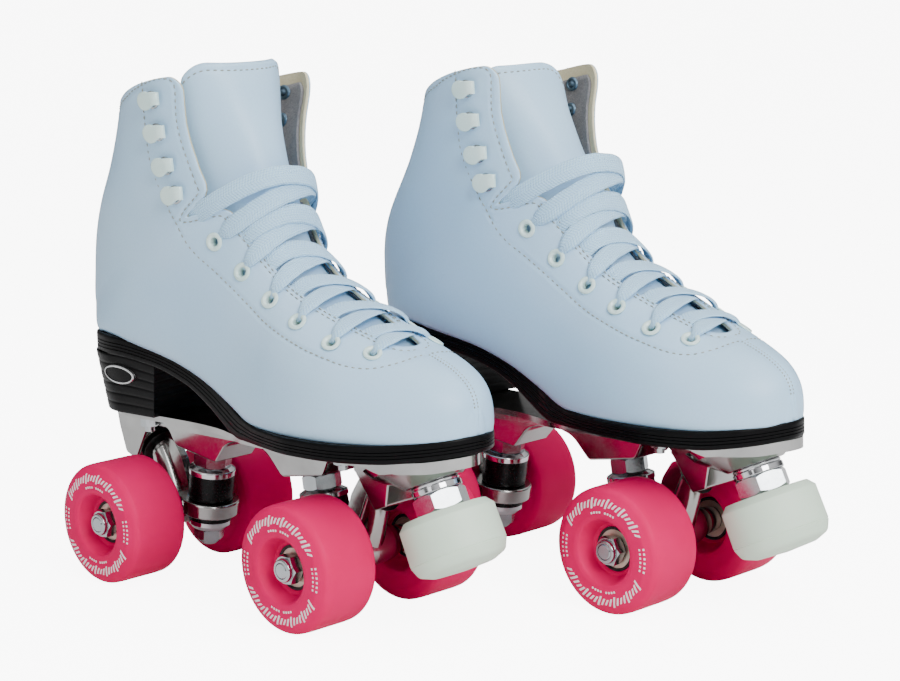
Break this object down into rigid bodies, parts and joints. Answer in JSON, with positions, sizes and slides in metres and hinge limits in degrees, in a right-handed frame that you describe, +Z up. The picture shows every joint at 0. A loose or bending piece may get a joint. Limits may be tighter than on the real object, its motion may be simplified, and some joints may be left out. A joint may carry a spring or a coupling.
{
  "type": "quad roller skates",
  "caption": "Pair of laced high-top quad roller skates: leather boots on cast plates with tilting cushioned trucks, free-spinning urethane wheels and adjustable toe stops.",
  "frame": {"origin": "on the ground at the middle of the pair's bounding box", "axes": "+X towards the toes, along the skates' length; +Y to the wearer's left; +Z up"},
  "size_m": [0.3658, 0.2276, 0.2642],
  "materials": {
    "white_leather": "smooth coated boot leather",
    "grey_lining": "brushed felt lining",
    "insole_board": "woven sock over fibre board",
    "white_lace": "flat herringbone lace",
    "white_enamel": "white enamelled metal",
    "sole_rubber": "matt black sole",
    "plate_aluminium": "polished casting",
    "zinc_steel": "bright zinc plated steel",
    "chrome_steel": "bright plated steel",
    "cushion_urethane": "black urethane",
    "wheel_urethane": "cast pink urethane, satin",
    "stop_rubber": "pale moulded rubber"
  },
  "bodies": {
    "right_skate": {"right_boot_upper": "white_leather", "right_boot_lining": "grey_lining", "right_tongue": "white_leather", "right_insole": "insole_board", "right_lace": "white_lace", "right_eyelets": "white_enamel", "right_lace_hooks": "white_enamel", "right_outsole": "sole_rubber", "right_heel": "sole_rubber", "right_plate": "plate_aluminium", "right_plate_bolts": "zinc_steel", "right_kingpins": "zinc_steel", "right_plate_nuts": "zinc_steel", "right_cup_washers": "chrome_steel", "right_cushions": "cushion_urethane", "right_pivot_cups": "cushion_urethane"},
    "right_front_truck": {"right_front_hanger": "plate_aluminium", "right_front_axle": "zinc_steel"},
    "right_front_left_wheel_body": {"right_front_left_wheel": "wheel_urethane", "right_front_left_bearings": "chrome_steel"},
    "right_front_right_wheel_body": {"right_front_right_wheel": "wheel_urethane", "right_front_right_bearings": "chrome_steel"},
    "right_rear_truck": {"right_rear_hanger": "plate_aluminium", "right_rear_axle": "zinc_steel"},
    "right_rear_left_wheel_body": {"right_rear_left_wheel": "wheel_urethane", "right_rear_left_bearings": "chrome_steel"},
    "right_rear_right_wheel_body": {"right_rear_right_wheel": "wheel_urethane", "right_rear_right_bearings": "chrome_steel"},
    "right_toe_stop_body": {"right_toe_stop": "stop_rubber", "right_toe_stop_stem": "zinc_steel"},
    "left_skate": {"left_boot_upper": "white_leather", "left_boot_lining": "grey_lining", "left_tongue": "white_leather", "left_insole": "insole_board", "left_lace": "white_lace", "left_eyelets": "white_enamel", "left_lace_hooks": "white_enamel", "left_outsole": "sole_rubber", "left_heel": "sole_rubber", "left_plate": "plate_aluminium", "left_plate_bolts": "zinc_steel", "left_kingpins": "zinc_steel", "left_plate_nuts": "zinc_steel", "left_cup_washers": "chrome_steel", "left_cushions": "cushion_urethane", "left_pivot_cups": "cushion_urethane"},
    "left_front_truck": {"left_front_hanger": "plate_aluminium", "left_front_axle": "zinc_steel"},
    "left_front_left_wheel_body": {"left_front_left_wheel": "wheel_urethane", "left_front_left_bearings": "chrome_steel"},
    "left_front_right_wheel_body": {"left_front_right_wheel": "wheel_urethane", "left_front_right_bearings": "chrome_steel"},
    "left_rear_truck": {"left_rear_hanger": "plate_aluminium", "left_rear_axle": "zinc_steel"},
    "left_rear_left_wheel_body": {"left_rear_left_wheel": "wheel_urethane", "left_rear_left_bearings": "chrome_steel"},
    "left_rear_right_wheel_body": {"left_rear_right_wheel": "wheel_urethane", "left_rear_right_bearings": "chrome_steel"},
    "left_toe_stop_body": {"left_toe_stop": "stop_rubber", "left_toe_stop_stem": "zinc_steel"}
  },
  "joints": [
    {"name": "right_front_truck_tilt", "type": "hinge", "parent": "right_skate", "child": "right_front_truck", "pos_m": [-0.02311, -0.0591, 0.035], "axis": [0.8339, 0, 0.5519], "range_deg": [-8, 8], "stiffness_Nm_per_rad": 20, "deforming": ["right_cushions"]},
    {"name": "right_front_left_wheel_spin", "type": "hinge", "parent": "right_front_truck", "child": "right_front_left_wheel_body", "pos_m": [0.0019, -0.0221, 0.031], "axis": [0, 1, 0], "continuous": true},
    {"name": "right_front_right_wheel_spin", "type": "hinge", "parent": "right_front_truck", "child": "right_front_right_wheel_body", "pos_m": [0.0019, -0.0961, 0.031], "axis": [0, 1, 0], "continuous": true},
    {"name": "right_rear_truck_tilt", "type": "hinge", "parent": "right_skate", "child": "right_rear_truck", "pos_m": [-0.11309, -0.0591, 0.035], "axis": [-0.8339, 0, 0.5519], "range_deg": [-8, 8], "stiffness_Nm_per_rad": 20, "deforming": ["right_cushions"]},
    {"name": "right_rear_left_wheel_spin", "type": "hinge", "parent": "right_rear_truck", "child": "right_rear_left_wheel_body", "pos_m": [-0.1381, -0.0221, 0.031], "axis": [0, 1, 0], "continuous": true},
    {"name": "right_rear_right_wheel_spin", "type": "hinge", "parent": "right_rear_truck", "child": "right_rear_right_wheel_body", "pos_m": [-0.1381, -0.0961, 0.031], "axis": [0, 1, 0], "continuous": true},
    {"name": "right_toe_stop_adjust", "type": "slide", "parent": "right_skate", "child": "right_toe_stop_body", "axis": [0.4163, 0, -0.9092], "range_m": [0, 0.006]},
    {"name": "left_front_truck_tilt", "type": "hinge", "parent": "left_skate", "child": "left_front_truck", "pos_m": [0.07309, 0.0591, 0.035], "axis": [0.8339, 0, 0.5519], "range_deg": [-8, 8], "stiffness_Nm_per_rad": 20, "deforming": ["left_cushions"]},
    {"name": "left_front_left_wheel_spin", "type": "hinge", "parent": "left_front_truck", "child": "left_front_left_wheel_body", "pos_m": [0.0981, 0.0961, 0.031], "axis": [0, 1, 0], "continuous": true},
    {"name": "left_front_right_wheel_spin", "type": "hinge", "parent": "left_front_truck", "child": "left_front_right_wheel_body", "pos_m": [0.0981, 0.0221, 0.031], "axis": [0, 1, 0], "continuous": true},
    {"name": "left_rear_truck_tilt", "type": "hinge", "parent": "left_skate", "child": "left_rear_truck", "pos_m": [-0.01689, 0.0591, 0.035], "axis": [-0.8339, 0, 0.5519], "range_deg": [-8, 8], "stiffness_Nm_per_rad": 20, "deforming": ["left_cushions"]},
    {"name": "left_rear_left_wheel_spin", "type": "hinge", "parent": "left_rear_truck", "child": "left_rear_left_wheel_body", "pos_m": [-0.0419, 0.0961, 0.031], "axis": [0, 1, 0], "continuous": true},
    {"name": "left_rear_right_wheel_spin", "type": "hinge", "parent": "left_rear_truck", "child": "left_rear_right_wheel_body", "pos_m": [-0.0419, 0.0221, 0.031], "axis": [0, 1, 0], "continuous": true},
    {"name": "left_toe_stop_adjust", "type": "slide", "parent": "left_skate", "child": "left_toe_stop_body", "axis": [0.4163, 0, -0.9092], "range_m": [0, 0.006]},
    {"name": "pair_spacing", "type": "slide", "parent": "right_skate", "child": "left_skate", "axis": [1, 0, 0], "range_m": [-0.15, 0.15]}
  ]
}
